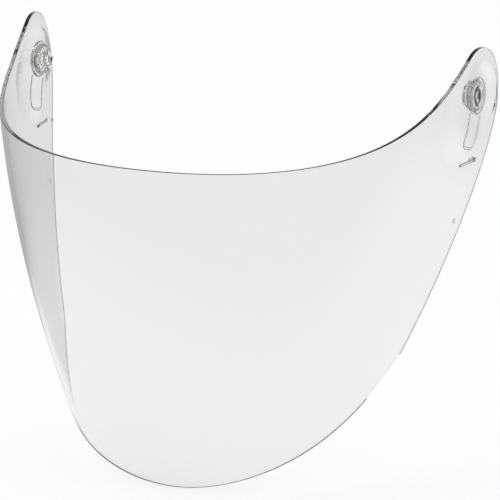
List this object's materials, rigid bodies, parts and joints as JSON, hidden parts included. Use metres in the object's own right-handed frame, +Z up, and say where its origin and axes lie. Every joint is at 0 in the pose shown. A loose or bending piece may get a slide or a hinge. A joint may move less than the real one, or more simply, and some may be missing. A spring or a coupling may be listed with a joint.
{
  "type": "motorcycle helmet visor",
  "caption": "Clear wrap-around visor for an open-face helmet: a tapered, curved sheet with round-ended ears, a level pad in each ear and a quarter-turn pivot plug in a bush.",
  "frame": {"origin": "middle of the pivot axis, halfway between the two bushes", "axes": "+X along the pivot axis to the wearer's left, -Y to the front, +Z up with the visor closed"},
  "size_m": [0.2444, 0.1294, 0.2074],
  "materials": {
    "clear_sheet": "clear, polished, hard-coated",
    "clear_hub": "clear, polished",
    "silicone": "translucent, matt",
    "nylon": "natural, satin"
  },
  "bodies": {
    "helmet_side": {"left_pivot_bush": "clear_hub", "left_friction_ring": "silicone", "left_retaining_clip": "nylon", "right_pivot_bush": "clear_hub", "right_friction_ring": "silicone", "right_retaining_clip": "nylon"},
    "shield": {"shield": "clear_sheet"},
    "left_plug": {"left_pivot_plug": "clear_hub"},
    "right_plug": {"right_pivot_plug": "clear_hub"}
  },
  "joints": [
    {"name": "visor_lift", "type": "hinge", "parent": "helmet_side", "child": "shield", "pos_m": [0, 0, 0], "axis": [-1, 0, 0], "range_deg": [0, 55]},
    {"name": "left_plug_turn", "type": "hinge", "parent": "helmet_side", "child": "left_plug", "pos_m": [0.116, 0, 0], "axis": [1, 0, 0], "range_deg": [0, 90]},
    {"name": "right_plug_turn", "type": "hinge", "parent": "helmet_side", "child": "right_plug", "pos_m": [-0.116, 0, 0], "axis": [-1, 0, 0], "range_deg": [0, 90]}
  ]
}
